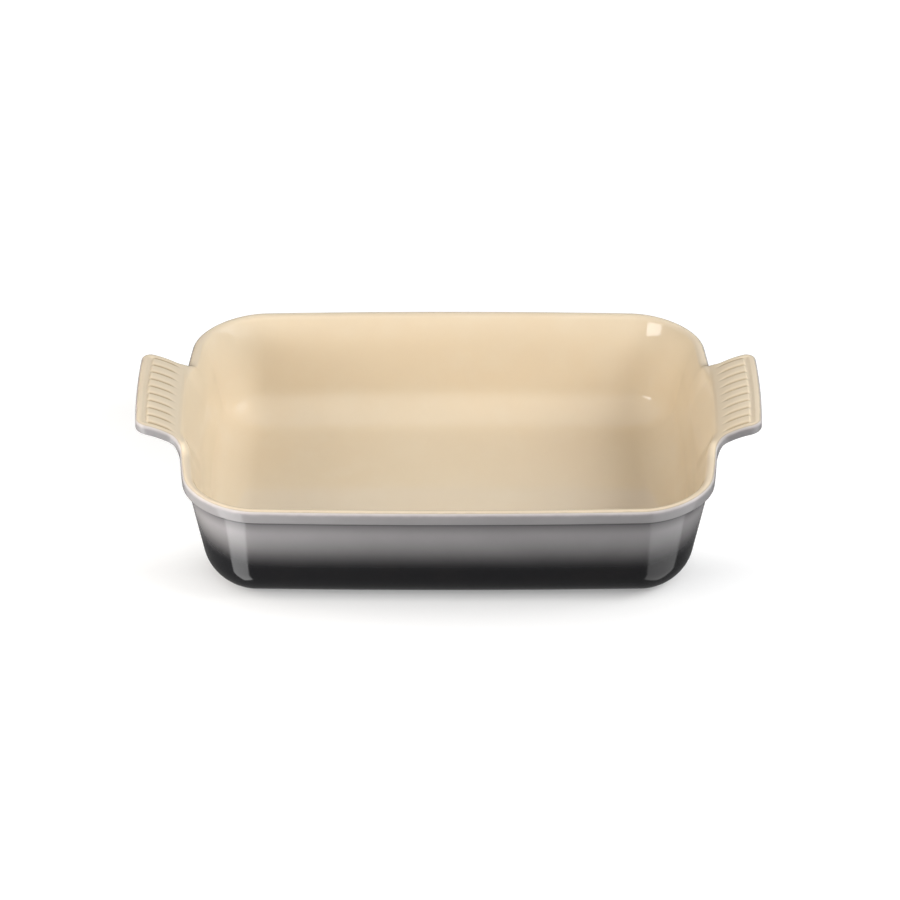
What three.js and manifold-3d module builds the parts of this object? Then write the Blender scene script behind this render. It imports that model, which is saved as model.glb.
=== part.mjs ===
// Gratin dish: a stoneware body with two lug handles, glazed cream inside and grey outside.
// Millimetres. X runs end to end, Y front to back, Z up. The bare foot rests on Z = 0.

import * as THREE from 'three';
import { mergeVertices } from 'three/addons/utils/BufferGeometryUtils.js';
import Module from 'manifold-3d';

const wasm = await Module();
wasm.setup();

// Rim and collar
const RIM_LENGTH = 331; // over the collar, at the middle of the ends
const RIM_WIDTH = 238; // over the collar, at the middle of the long sides
const RIM_HEIGHT = 74; // table to rim top
const RIM_THICKNESS = 6.2; // collar face to inner wall
const RIM_CORNER_RADIUS = 40; // collar corner seen from above
const END_BOW = 10; // swell of each end at its middle
const SIDE_BOW = 3.5; // swell of each long side at its middle
const COLLAR_HEIGHT = 8.8; // collar face, top to bottom
const COLLAR_OVERHANG = 3.5; // collar face to the wall under it
const COLLAR_FILLET = 1.2; // hollow bend between the wall and the collar
const UPPER_EDGE_RADIUS = 2.4; // outer top edge of collar and handles
const LOWER_EDGE_RADIUS = 1.5; // outer bottom edge of collar and handles
const INNER_EDGE_RADIUS = 2.2; // inner top edge of the rim

// Walls, floor and foot
const SIDE_LEAN = 9; // outside of the long walls, degrees from upright
const END_LEAN = 11; // outside of the end walls, degrees from upright
const SIDE_BEND = 26; // outside bend from a long wall into the base
const END_BEND = 27; // outside bend from an end wall into the base
const FLARE_DEPTH = 15; // rim top to the lower end of the inside flare
const FLARE_LEAN = 22; // inside of the walls just under the rim, degrees from upright
const INNER_SIDE_LEAN = 8; // inside of the long walls under the flare, degrees from upright
const INNER_END_LEAN = 10; // inside of the end walls under the flare, degrees from upright
const INNER_SIDE_BEND = 24; // inside bend from a long wall into the floor
const INNER_END_BEND = 26; // inside bend from an end wall into the floor
const FLOOR_HEIGHT = 8; // table to inside floor
const BASE_CORNER_RADIUS = 8; // least corner radius seen from above
const FOOT_WIDTH = 6; // bare ring that touches the table
const FOOT_RECESS = 2; // depth of the hollow inside the foot
const FOOT_DRAFT = 1; // slope of the foot's inner side across its depth

// Handles
const HANDLE_REACH = 26.7; // collar face to handle tip
const HANDLE_WIDTH = 85.4; // front to back
const HANDLE_THICKNESS = 7.2; // top to underside
const HANDLE_CORNER_RADIUS = 7; // outer corners seen from above
const HANDLE_ROOT_RADIUS = 7; // hollow corner where handle meets collar
const HANDLE_LIP = 2.7; // collar line to the inner edge beside the handle
const HANDLE_ROOT_RISE = 4; // handle's inner edge above the rim
const HANDLE_TIP_RISE = 15.4; // handle's tip above the rim
const HANDLE_SWEEP = 1.8; // power of the upward curve
const JOINT_SETBACK = 1.8; // collar face to the luted joint

// Ridged grip on each handle
const RIDGE_COUNT = 9; // odd, so one ridge lies on the middle line
const RIDGE_DEPTH = 1; // ridge top to groove bottom
const GROOVE_HALF_WIDTH = 1.6; // groove bottom to ridge top, along the surface
const GRIP_BORDER = 5; // smooth frame round the ridges
const GRIP_PLAIN = 3.5; // smooth strip beside the inner edge
const RIDGE_FADE = 3; // length over which the grooves run out

// Glaze and joints
const GLAZE_THICKNESS = 0.5;
const GLAZE_CLEARANCE = 0.3; // glaze coat to clay
const GLAZE_END_HEIGHT = 1; // table to the lower edge of the outside coat
const GREY_REACH = 45; // grey coat's climb round the outer top edge, degrees
const GLAZE_MEETING_GAP = 20; // gap between the two coats, degrees round the edge
const JOINT_CLEARANCE = 0.3; // luted joint

// Fineness of the mesh
const CORNER_STEPS = 6;
const BEND_STEPS = 4;
const HANDLE_CORNER_STEPS = 2;
const HANDLE_SIDE_STEPS = 2;
const ROOT_STEPS = 3;
const SIDE_STEPS = 2;
const EDGE_STEPS = 2;
const UNDERSIDE_STEPS = 2;
const QUARTER_TURN = 90; // degrees round a rounded edge
const CUT_TOLERANCE = 0.05; // slivers thinner than this go after a cut

// Kinds of station that a ring can use
const WALL = ['main'];
const RIM = ['main', 'root'];
const EDGE = ['main', 'root', 'side'];
const BORDER = ['main', 'root', 'side', 'ridge'];
const GRIP = ['main', 'root', 'ridge'];

// Colours
const CLAY_COLOUR = 0xc2ab90;
const CREAM_COLOUR = 0xe4d5b9;
const GREY_COLOUR = 0x8b898a;
const DARK_COLOUR = 0x29292b;
const CLAY_ROUGHNESS = 0.85;
const GLAZE_ROUGHNESS = 0.18;

// Sizes that follow from the ones above
const radians = THREE.MathUtils.degToRad;
const lerp = THREE.MathUtils.lerp;
const clamp = THREE.MathUtils.clamp;
const rimEnd = RIM_LENGTH / 2;
const halfLength = rimEnd - END_BOW;
const halfWidth = RIM_WIDTH / 2 - SIDE_BOW;
const handleHalf = HANDLE_WIDTH / 2;
const gripHalf = handleHalf - GRIP_BORDER;
const ridgePitch = (2 * gripHalf) / RIDGE_COUNT;
const rootEnd = handleHalf + HANDLE_ROOT_RADIUS;
const lipLine = rimEnd - HANDLE_LIP;
const tipLine = rimEnd + HANDLE_REACH;
const wallTop = RIM_HEIGHT - COLLAR_HEIGHT - COLLAR_FILLET;
const innerWallTop = RIM_HEIGHT - INNER_EDGE_RADIUS;
const flareBottom = RIM_HEIGHT - FLARE_DEPTH;
const flareInset = RIM_THICKNESS + (innerWallTop - flareBottom) * Math.tan(radians(FLARE_LEAN));
const clayDepth = GLAZE_THICKNESS + GLAZE_CLEARANCE;

// Swells the sides of the plan outward
function bowed(x, y) {
  const alongX = clamp(x / halfLength, -1, 1);
  const alongY = y / halfWidth;
  const swellX = END_BOW * alongX * (1 - alongY * alongY);
  const swellY = SIDE_BOW * alongY * (1 - alongX * alongX);
  return [x + swellX, y + swellY];
}

// Stations round a quarter of the dish, from the middle of an end to the middle of a long side
function quarterStations() {
  const list = [];
  const straightEnd = halfWidth - RIM_CORNER_RADIUS;
  const addEnd = (y, edge, kind, marks = {}) => {
    list.push({ spanX: 1, spanY: y / straightEnd, turn: 0, edge, kind, ...marks });
  };

  // Across the ridges
  const tip = halfLength + HANDLE_REACH;
  for (let k = 0; k < (RIDGE_COUNT - 1) / 2; k += 1) {
    const middle = (k + 0.5) * ridgePitch;
    const near = middle - GROOVE_HALF_WIDTH;
    const far = middle + GROOVE_HALF_WIDTH;
    addEnd(near, [tip, near], k === 0 ? 'main' : 'ridge', { grip: true });
    addEnd(middle, [tip, middle], k % 2 === 0 ? 'ridge' : 'main', { grip: true, groove: true });
    addEnd(far, [tip, far], 'ridge', { grip: true });
  }

  // Round the handle's corner and along its side
  const cornerX = tip - HANDLE_CORNER_RADIUS;
  const cornerY = handleHalf - HANDLE_CORNER_RADIUS;
  for (let k = 0; k <= HANDLE_CORNER_STEPS; k += 1) {
    const turn = ((k / HANDLE_CORNER_STEPS) * Math.PI) / 2;
    const x = cornerX + HANDLE_CORNER_RADIUS * Math.cos(turn);
    const y = cornerY + HANDLE_CORNER_RADIUS * Math.sin(turn);
    addEnd(cornerY, [x, y], 'side', { grip: true });
  }
  const rootX = halfLength + HANDLE_ROOT_RADIUS;
  for (let k = 1; k <= HANDLE_SIDE_STEPS; k += 1) {
    const x = lerp(cornerX, rootX, k / (HANDLE_SIDE_STEPS + 1));
    addEnd(cornerY, [x, handleHalf], 'side', { grip: true });
  }

  // Round the hollow corner to the collar, and on to the rim's corner
  for (let k = 0; k <= ROOT_STEPS; k += 1) {
    const share = k / ROOT_STEPS;
    const turn = (share * Math.PI) / 2;
    const x = rootX - HANDLE_ROOT_RADIUS * Math.sin(turn);
    const y = rootEnd - HANDLE_ROOT_RADIUS * Math.cos(turn);
    addEnd(lerp(gripHalf, rootEnd, share), [x, y], k === ROOT_STEPS ? 'main' : 'root');
  }
  const between = (rootEnd + straightEnd) / 2;
  addEnd(between, [halfLength, between], 'main');

  // Round the rim's corner to the middle of the long side
  for (let k = 0; k <= CORNER_STEPS; k += 1) {
    const turn = ((k / CORNER_STEPS) * Math.PI) / 2;
    list.push({ spanX: 1, spanY: 1, turn, edge: null, kind: 'main' });
  }
  for (let k = 1; k <= SIDE_STEPS; k += 1) {
    const spanX = 1 - (k - 0.5) / SIDE_STEPS;
    list.push({ spanX, spanY: 1, turn: Math.PI / 2, edge: null, kind: 'main' });
  }
  return list;
}

// The four quarters in one loop, anticlockwise seen from above
function mirrored(list, signX, signY) {
  const copy = list.map((station) => ({ ...station, signX, signY }));
  return signX * signY > 0 ? copy : copy.reverse();
}

const quarter = quarterStations();
const stations = [
  mirrored(quarter, 1, 1),
  mirrored(quarter, -1, 1),
  mirrored(quarter, -1, -1),
  mirrored(quarter, 1, -1),
].flat();

// Plan position of a station on an outline drawn in from the rim
function planPoint(station, insetX, insetY) {
  const radius = Math.max(RIM_CORNER_RADIUS - (insetX + insetY) / 2, BASE_CORNER_RADIUS);
  const x = (halfLength - insetX - radius) * station.spanX + radius * Math.cos(station.turn);
  const y = (halfWidth - insetY - radius) * station.spanY + radius * Math.sin(station.turn);
  return bowed(station.signX * x, station.signY * y);
}

// Outer edge of collar and handles, with its outward direction at each station
const edgeLine = stations.map((station) => {
  if (!station.edge) {
    return planPoint(station, 0, 0);
  }
  return bowed(station.signX * station.edge[0], station.signY * station.edge[1]);
});
const edgeNormal = edgeLine.map((point, index) => {
  const before = edgeLine[(index + stations.length - 1) % stations.length];
  const after = edgeLine[(index + 1) % stations.length];
  const alongX = after[0] - before[0];
  const alongY = after[1] - before[1];
  const size = Math.hypot(alongX, alongY);
  return [alongY / size, -alongX / size];
});

function edgePoint(index, inward) {
  const [x, y] = edgeLine[index];
  const [outX, outY] = edgeNormal[index];
  return [x - outX * inward, y - outY * inward];
}

// 1 across the handle, 0 on the plain rim: for heights, and for the line of the inner edge
function handleShare(y) {
  return THREE.MathUtils.smoothstep(-Math.abs(y), -rootEnd, -handleHalf);
}

function lipShare(y) {
  return THREE.MathUtils.smoothstep(-Math.abs(y), -rootEnd, 2 * HANDLE_ROOT_RADIUS - rootEnd);
}

// Top of rim and handles, and their underside
function topHeight([x, y]) {
  const outward = clamp((Math.abs(x) - lipLine) / (tipLine - lipLine), 0, 1);
  const climb = lerp(HANDLE_TIP_RISE, HANDLE_ROOT_RISE, (1 - outward) ** HANDLE_SWEEP);
  return RIM_HEIGHT + handleShare(y) * climb;
}

function undersideHeight(point) {
  const thickness = lerp(COLLAR_HEIGHT, HANDLE_THICKNESS, handleShare(point[1]));
  return topHeight(point) - thickness;
}

// Distance of a wall from the rim line at a given height, and its tilt there
function wallProfile(height, top, topInset, floor, leanDegrees, bend) {
  const lean = radians(leanDegrees);
  const bendTop = floor + bend * (1 - Math.sin(lean));
  if (height >= bendTop) {
    return { inset: topInset + (top - height) * Math.tan(lean), tilt: lean };
  }
  const bendCentre = topInset + (top - bendTop) * Math.tan(lean) + bend * Math.cos(lean);
  const tilt = Math.asin(clamp((bend - (height - floor)) / bend, -1, 1));
  return { inset: bendCentre - bend * Math.cos(tilt), tilt };
}

// A point of a wall, moved square to the wall by a signed depth
function wallPoint(station, height, end, side, depth) {
  const insetX = end.inset + depth * Math.cos(end.tilt);
  const insetY = side.inset + depth * Math.cos(side.tilt);
  const rise = (depth * (Math.sin(end.tilt) + Math.sin(side.tilt))) / 2;
  return [...planPoint(station, insetX, insetY), height + rise];
}

function outerWallPoint(station, height, depth) {
  const end = wallProfile(height, wallTop, COLLAR_OVERHANG, 0, END_LEAN, END_BEND);
  const side = wallProfile(height, wallTop, COLLAR_OVERHANG, 0, SIDE_LEAN, SIDE_BEND);
  return wallPoint(station, height, end, side, depth);
}

function innerWallPoint(station, height, depth) {
  const profile = (lean, bend) => wallProfile(height, flareBottom, flareInset, FLOOR_HEIGHT, lean, bend);
  const end = profile(INNER_END_LEAN, INNER_END_BEND);
  const side = profile(INNER_SIDE_LEAN, INNER_SIDE_BEND);
  return wallPoint(station, height, end, side, -depth);
}

// Inner edge of the rim, drawn outward beside the handles
function lipPoint(station, inward) {
  const [, y] = planPoint(station, RIM_THICKNESS, RIM_THICKNESS);
  const lip = lerp(RIM_THICKNESS, HANDLE_LIP, lipShare(y));
  return planPoint(station, lip - inward, lip - inward);
}

// The glazed surface: rings from the foot up the outside, over the rim and down to the floor.
// Each point is kept as its place at a given depth under the surface.
const makers = [];
const rings = [];

function addRing(kinds, place) {
  const ring = [];
  stations.forEach((station, index) => {
    if (kinds.includes(station.kind)) {
      ring.push({ station: index, point: makers.length });
      makers.push((depth) => place(station, index, depth));
    }
  });
  rings.push(ring);
  return rings.length - 1;
}

function bendHeights(floor, endLean, endBend) {
  const bendTop = endBend * (1 - Math.sin(radians(endLean)));
  const heights = [];
  for (let k = 0; k <= BEND_STEPS; k += 1) {
    heights.push(floor + bendTop * (1 - Math.cos(((k / BEND_STEPS) * Math.PI) / 2)));
  }
  return heights;
}

// Outside of the walls
function addOuterWall(height) {
  return addRing(WALL, (station, index, depth) => outerWallPoint(station, height, depth));
}
const firstRing = addOuterWall(GLAZE_END_HEIGHT);
for (const height of bendHeights(0, END_LEAN, END_BEND)) {
  if (height > 2 * GLAZE_END_HEIGHT) {
    addOuterWall(height);
  }
}

// Underside of collar and handles
const underInset = COLLAR_OVERHANG - COLLAR_FILLET;
addRing(RIM, (station, index, depth) => {
  const under = undersideHeight(planPoint(station, COLLAR_OVERHANG, COLLAR_OVERHANG));
  const inset = COLLAR_OVERHANG + depth;
  return [...planPoint(station, inset, inset), under - COLLAR_FILLET];
});
for (let k = 0; k <= UNDERSIDE_STEPS; k += 1) {
  addRing(k === UNDERSIDE_STEPS ? EDGE : RIM, (station, index, depth) => {
    const from = planPoint(station, underInset, underInset);
    const to = edgePoint(index, LOWER_EDGE_RADIUS);
    const share = k / UNDERSIDE_STEPS;
    const place = [lerp(from[0], to[0], share), lerp(from[1], to[1], share)];
    return [...place, undersideHeight(place) + depth];
  });
}

// Outer edge of collar and handles
addRing(EDGE, (station, index, depth) => {
  const under = undersideHeight(edgePoint(index, 0));
  return [...edgePoint(index, depth), under + LOWER_EDGE_RADIUS];
});
function addUpperEdge(degrees) {
  const angle = radians(degrees);
  return addRing(EDGE, (station, index, depth) => {
    const inward = UPPER_EDGE_RADIUS * (1 - Math.cos(angle));
    const down = UPPER_EDGE_RADIUS * (1 - Math.sin(angle));
    const top = topHeight(edgePoint(index, inward));
    return [...edgePoint(index, inward + depth * Math.cos(angle)), top - down - depth * Math.sin(angle)];
  });
}
addUpperEdge(0);
const greyTopRing = addUpperEdge(GREY_REACH);
const creamLowRing = addUpperEdge(GREY_REACH + GLAZE_MEETING_GAP);
addUpperEdge(QUARTER_TURN);

// Top of rim and handles, with the ridges
const gripLength = HANDLE_REACH + HANDLE_LIP - UPPER_EDGE_RADIUS - INNER_EDGE_RADIUS;
const grooveLine = GRIP_BORDER - UPPER_EDGE_RADIUS;
const ridgesEnd = gripLength - GRIP_PLAIN;

function gripPlace(station, index, distance) {
  if (station.grip && distance <= grooveLine + GROOVE_HALF_WIDTH) {
    return edgePoint(index, UPPER_EDGE_RADIUS + distance);
  }
  const from = edgePoint(index, UPPER_EDGE_RADIUS);
  const to = lipPoint(station, INNER_EDGE_RADIUS);
  const share = distance / gripLength;
  return [lerp(from[0], to[0], share), lerp(from[1], to[1], share)];
}

function addGripRing(kinds, distance, drop) {
  addRing(kinds, (station, index, depth) => {
    const place = gripPlace(station, index, distance);
    return [...place, topHeight(place) - drop(station) - depth];
  });
}
const smoothTop = () => 0;
const roundGroove = (station) => (station.grip ? RIDGE_DEPTH : 0);
const betweenRidges = (station) => (station.groove ? RIDGE_DEPTH : 0);
addGripRing(EDGE, grooveLine - GROOVE_HALF_WIDTH, smoothTop);
addGripRing(BORDER, grooveLine, roundGroove);
addGripRing(BORDER, grooveLine + GROOVE_HALF_WIDTH, betweenRidges);
addGripRing(GRIP, ridgesEnd - RIDGE_FADE, betweenRidges);
addGripRing(RIM, ridgesEnd, smoothTop);

// Inner edge and inside of the walls
function addInnerEdge(degrees) {
  const angle = radians(degrees);
  addRing(RIM, (station, index, depth) => {
    const inward = INNER_EDGE_RADIUS * (1 - Math.sin(angle));
    const down = INNER_EDGE_RADIUS * (1 - Math.cos(angle));
    const top = topHeight(lipPoint(station, inward));
    return [...lipPoint(station, inward + depth * Math.sin(angle)), top - down - depth * Math.cos(angle)];
  });
}
for (let k = 0; k <= EDGE_STEPS; k += 1) {
  addInnerEdge((k / EDGE_STEPS) * QUARTER_TURN);
}
function addInnerWall(height) {
  return addRing(WALL, (station, index, depth) => innerWallPoint(station, height, depth));
}
addInnerWall(flareBottom);
for (const height of bendHeights(FLOOR_HEIGHT, INNER_END_LEAN, INNER_END_BEND).reverse()) {
  addInnerWall(height);
}
const lastRing = rings.length - 1;
const floorCentre = makers.length;
makers.push((depth) => [0, 0, FLOOR_HEIGHT - depth]);

// The whole surface at a given depth
function sunk(depth) {
  return makers.map((make) => make(depth));
}
const surface = sunk(0);

// Triangles between two rings, which may differ in how many points they have
function bandTriangles(lower, upper, places) {
  const triangles = [];
  const pointAt = (ring, place) => ring[place % ring.length].point;
  const distance = (a, b) => Math.hypot(...places[a].map((value, axis) => value - places[b][axis]));
  let i = 0;
  let j = 0;
  while (i < lower.length || j < upper.length) {
    const a = pointAt(lower, i);
    const b = pointAt(upper, j);
    const nextA = pointAt(lower, i + 1);
    const nextB = pointAt(upper, j + 1);
    const lowerDone = i === lower.length;
    const upperDone = j === upper.length;
    if (upperDone || (!lowerDone && distance(nextA, b) <= distance(a, nextB))) {
      i += 1;
      triangles.push([a, nextA, b]);
    } else {
      j += 1;
      triangles.push([a, nextB, b]);
    }
  }
  return triangles;
}

function fanTriangles(ring, centre) {
  return ring.map((entry, place) => [entry.point, ring[(place + 1) % ring.length].point, centre]);
}

function ringsTriangles(from, to) {
  const triangles = [];
  for (let k = from; k < to; k += 1) {
    triangles.push(...bandTriangles(rings[k], rings[k + 1], surface));
  }
  return triangles;
}

function makeGeometry(places, triangles) {
  const geometry = new THREE.BufferGeometry();
  geometry.setAttribute('position', new THREE.Float32BufferAttribute(places.flat(), 3));
  geometry.setIndex(triangles.flat());
  return mergeVertices(geometry);
}

const floorTriangles = fanTriangles(rings[lastRing], floorCentre);
const surfaceTriangles = [...ringsTriangles(firstRing, lastRing), ...floorTriangles];

// A glaze coat over some of the rings
function coatGeometry(from, to, reachesCentre) {
  const places = [...surface, ...sunk(GLAZE_THICKNESS)];
  const shift = makers.length;
  const face = ringsTriangles(from, to);
  if (reachesCentre) {
    face.push(...floorTriangles);
  }
  const triangles = [...face];
  for (const [a, b, c] of face) {
    triangles.push([a + shift, c + shift, b + shift]);
  }
  const closeEdge = (ring, lower) => {
    ring.forEach((entry, place) => {
      const here = entry.point;
      const next = ring[(place + 1) % ring.length].point;
      const [a, b] = lower ? [next, here] : [here, next];
      triangles.push([a, b, b + shift], [a, b + shift, a + shift]);
    });
  };
  closeEdge(rings[from], true);
  if (!reachesCentre) {
    closeEdge(rings[to], false);
  }
  return makeGeometry(places, triangles);
}

// Extra rings on the base, outside the glazed surface
function addBaseRing(places, place) {
  const ring = [];
  stations.forEach((station, index) => {
    if (WALL.includes(station.kind)) {
      ring.push({ station: index, point: places.length });
      places.push(place(station));
    }
  });
  return ring;
}

function basePlace(station, extra, height) {
  const end = wallProfile(0, wallTop, COLLAR_OVERHANG, 0, END_LEAN, END_BEND);
  const side = wallProfile(0, wallTop, COLLAR_OVERHANG, 0, SIDE_LEAN, SIDE_BEND);
  return [...planPoint(station, end.inset + extra, side.inset + extra), height];
}

// Clay of body and handles in one, with the foot and the hollow inside it
function clayGeometry() {
  const places = sunk(clayDepth);
  const recess = FOOT_WIDTH + FOOT_DRAFT;
  const hollow = addBaseRing(places, (station) => basePlace(station, recess, FOOT_RECESS));
  const footInner = addBaseRing(places, (station) => basePlace(station, FOOT_WIDTH, 0));
  const footOuter = addBaseRing(places, (station) => basePlace(station, 0, 0));
  const centre = places.length;
  places.push([0, 0, FOOT_RECESS]);
  const triangles = [
    ...fanTriangles(hollow, centre).map(([a, b, c]) => [c, b, a]),
    ...bandTriangles(hollow, footInner, places),
    ...bandTriangles(footInner, footOuter, places),
    ...bandTriangles(footOuter, rings[firstRing], places),
    ...surfaceTriangles,
  ];
  return makeGeometry(places, triangles);
}

// Glaze patch in the hollow inside the foot
function undersideGeometry() {
  const places = [];
  const extra = FOOT_WIDTH + FOOT_DRAFT + GLAZE_CLEARANCE;
  const top = FOOT_RECESS - GLAZE_CLEARANCE;
  const bottom = top - GLAZE_THICKNESS;
  const lower = addBaseRing(places, (station) => basePlace(station, extra, bottom));
  const upper = addBaseRing(places, (station) => basePlace(station, extra, top));
  const lowerCentre = places.length;
  places.push([0, 0, bottom]);
  const upperCentre = places.length;
  places.push([0, 0, top]);
  const triangles = [
    ...fanTriangles(lower, lowerCentre).map(([a, b, c]) => [c, b, a]),
    ...bandTriangles(lower, upper, places),
    ...fanTriangles(upper, upperCentre),
  ];
  return makeGeometry(places, triangles);
}

// Cutting the clay at the luted joints
function toManifold(geometry) {
  const plain = geometry.clone();
  plain.deleteAttribute('normal');
  plain.deleteAttribute('uv');
  const merged = mergeVertices(plain);
  return new wasm.Manifold(
    new wasm.Mesh({
      numProp: 3,
      vertProperties: new Float32Array(merged.attributes.position.array),
      triVerts: new Uint32Array(merged.index.array),
    }),
  );
}

function fromManifold(solid) {
  const mesh = solid.simplify(CUT_TOLERANCE).getMesh();
  const geometry = new THREE.BufferGeometry();
  geometry.setAttribute('position', new THREE.Float32BufferAttribute(mesh.vertProperties, 3));
  geometry.setIndex(new THREE.Uint32BufferAttribute(mesh.triVerts, 1));
  return geometry;
}

function handleBlock(side, setback) {
  const start = rimEnd + setback;
  const length = 2 * HANDLE_REACH;
  const width = 2 * rootEnd;
  const height = 2 * RIM_HEIGHT;
  const box = new THREE.BoxGeometry(length, width, height);
  box.translate(side * (start + length / 2), 0, RIM_HEIGHT);
  return toManifold(box);
}

const clay = toManifold(clayGeometry());
const outerSetback = JOINT_SETBACK + JOINT_CLEARANCE;
const bodyClay = clay.subtract(handleBlock(-1, JOINT_SETBACK)).subtract(handleBlock(1, JOINT_SETBACK));
const leftClay = clay.intersect(handleBlock(-1, outerSetback));
const rightClay = clay.intersect(handleBlock(1, outerSetback));

// Assembly
const dish = new THREE.Group();
dish.name = 'gratin_dish';

function addPiece(name, geometry, color, roughness) {
  const shaped = geometry.index ? geometry.toNonIndexed() : geometry;
  shaped.computeVertexNormals();
  const material = new THREE.MeshStandardMaterial({ color, roughness, metalness: 0 });
  const mesh = new THREE.Mesh(shaped, material);
  mesh.name = name;
  dish.add(mesh);
}

addPiece('stoneware_body', fromManifold(bodyClay), CLAY_COLOUR, CLAY_ROUGHNESS);
addPiece('handle_left', fromManifold(leftClay), CLAY_COLOUR, CLAY_ROUGHNESS);
addPiece('handle_right', fromManifold(rightClay), CLAY_COLOUR, CLAY_ROUGHNESS);
addPiece('interior_glaze', coatGeometry(creamLowRing, lastRing, true), CREAM_COLOUR, GLAZE_ROUGHNESS);
addPiece('exterior_glaze', coatGeometry(firstRing, greyTopRing, false), GREY_COLOUR, GLAZE_ROUGHNESS);
addPiece('underside_glaze', undersideGeometry(), DARK_COLOUR, GLAZE_ROUGHNESS);

export default dish;
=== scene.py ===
import math

import bpy
import numpy as np
from mathutils import Euler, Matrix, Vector


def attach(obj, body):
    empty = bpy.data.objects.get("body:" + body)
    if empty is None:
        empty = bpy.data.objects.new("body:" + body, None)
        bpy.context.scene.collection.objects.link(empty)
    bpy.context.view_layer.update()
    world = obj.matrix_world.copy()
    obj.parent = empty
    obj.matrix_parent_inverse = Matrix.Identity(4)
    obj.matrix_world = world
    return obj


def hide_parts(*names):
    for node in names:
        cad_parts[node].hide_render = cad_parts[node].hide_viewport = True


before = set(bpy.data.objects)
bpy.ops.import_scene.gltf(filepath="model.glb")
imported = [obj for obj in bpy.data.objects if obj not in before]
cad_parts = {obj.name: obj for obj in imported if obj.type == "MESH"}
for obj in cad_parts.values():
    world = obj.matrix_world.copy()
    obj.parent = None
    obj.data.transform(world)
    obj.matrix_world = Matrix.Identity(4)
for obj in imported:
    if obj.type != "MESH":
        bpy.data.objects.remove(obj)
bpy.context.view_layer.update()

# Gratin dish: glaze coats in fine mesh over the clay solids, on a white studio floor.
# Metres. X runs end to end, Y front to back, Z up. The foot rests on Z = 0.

MM = 0.001

# Rim and collar
RIM_LENGTH = 331 * MM
RIM_WIDTH = 238 * MM
RIM_HEIGHT = 74 * MM
RIM_THICKNESS = 6.2 * MM
RIM_CORNER_RADIUS = 40 * MM
END_BOW = 10 * MM  # how far the ends swell outward
SIDE_BOW = 3.5 * MM
COLLAR_HEIGHT = 8.8 * MM
COLLAR_OVERHANG = 3.5 * MM
COLLAR_FILLET = 1.2 * MM
UPPER_EDGE_RADIUS = 2.4 * MM
LOWER_EDGE_RADIUS = 1.5 * MM
INNER_EDGE_RADIUS = 3.8 * MM

# Walls, floor and foot
SIDE_LEAN = math.radians(9)
END_LEAN = math.radians(11)
SIDE_BEND = 26 * MM
END_BEND = 27 * MM
FLARE_TOP = 2.2 * MM  # the flare is measured from this far below the rim
FLARE_DEPTH = 15 * MM
FLARE_LEAN = math.radians(22)
FLARE_SOFTNESS = 8.5 * MM  # half the height over which the flare turns into the wall
INNER_SIDE_LEAN = math.radians(8)
INNER_END_LEAN = math.radians(10)
INNER_SIDE_BEND = 24 * MM
INNER_END_BEND = 26 * MM
FLOOR_HEIGHT = 8 * MM
BASE_CORNER_RADIUS = 8 * MM
FOOT_WIDTH = 6 * MM
FOOT_RECESS = 2 * MM
FOOT_DRAFT = 1 * MM

# Handles
HANDLE_REACH = 26.7 * MM
HANDLE_WIDTH = 85.4 * MM
HANDLE_THICKNESS = 7.2 * MM
HANDLE_CORNER_RADIUS = 7 * MM
HANDLE_ROOT_RADIUS = 7 * MM
HANDLE_LIP = 2.7 * MM  # thickness of the rim inside a handle
LIP_EASE = 4 * MM  # the lip begins to draw outward this far before the root
LIP_BLEND = 22 * MM  # and needs this length for it
HANDLE_ROOT_RISE = 4 * MM
HANDLE_EASE = 4 * MM  # the top begins to climb this far before the root
HANDLE_TIP_RISE = 15.4 * MM
HANDLE_SWEEP = 1.8  # power of the handle's climb, which flattens to the tip

# Ridged grip
RIDGE_COUNT = 9
RIDGE_CREST = 0.5 * MM  # crests above the smooth strip round them
GROOVE_DEPTH = 0.6 * MM  # grooves below it
RIDGE_SQUARENESS = 4  # power that keeps a ridge flat on top and steep at its edges
RIDGE_END = 2.2 * MM  # length of a ridge's rounded end
TIP_POOLED_AND_SHADE = 0.25  # share of the pooled glaze and painted shade in the dip along the tip
STRIP_RISE = 1.4 * MM  # groove to the level of the smooth strip
GRIP_BORDER = 5 * MM  # smooth strip along the handle's sides
TIP_BORDER = 6.8 * MM  # from the ends of the ridges to the handle's tip
TIP_STRIP = 4 * MM  # smooth strip along the tip
GROOVE_START = 1 * MM  # collar line to where the grooves begin to sink
GROOVE_SINK = 7 * MM  # length over which they reach full depth

# Glaze
GLAZE_THICKNESS = 0.5 * MM
GLAZE_CLEARANCE = 0.3 * MM
GLAZE_END_HEIGHT = 1 * MM
PARTING_ANGLE = math.radians(50)  # where the two coats meet round the outer top edge
PARTING_GAP = math.radians(0.6)  # between them, round that edge
PARTING_REACH = 4 * MM  # how far from that line the colours still change
CREASE_REACH = 3 * MM  # how far from the bend under the collar shade is painted into the glaze
LOWEST_BEND_ROW = 1.3 * MM  # rows of the outer bend under this lie too close to the coat's end
PAD_EDGE_RADIUS = 0.22 * MM  # rounded edge of the glaze inside the foot

# Fineness of the mesh
TIP_STEPS = 80
HANDLE_CORNER_STEPS = 14
HANDLE_SIDE_STEPS = 16
ROOT_STEPS = 16
END_STEPS = 8
CORNER_STEPS = 28
SIDE_STEPS = 14
WALL_SKIP = 8  # one wall station for this many handle stations
GRIP_ROWS = 54
UNDERSIDE_ROWS = 16
EDGE_ROWS = 8
BEND_ROWS = 16
WALL_ROWS = 5
FLARE_ROWS = 10
FLOOR_ROWS = 6
POINTS_AT_ONCE = 4000
SHARP_ANGLE = math.radians(50)  # sharper edges are not shaded smooth

# Where along the inner edge, from an end's middle, the tip and the sides of a handle lead to
TIP_LIP = 30 * MM
SIDE_LIP = 36 * MM

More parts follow.
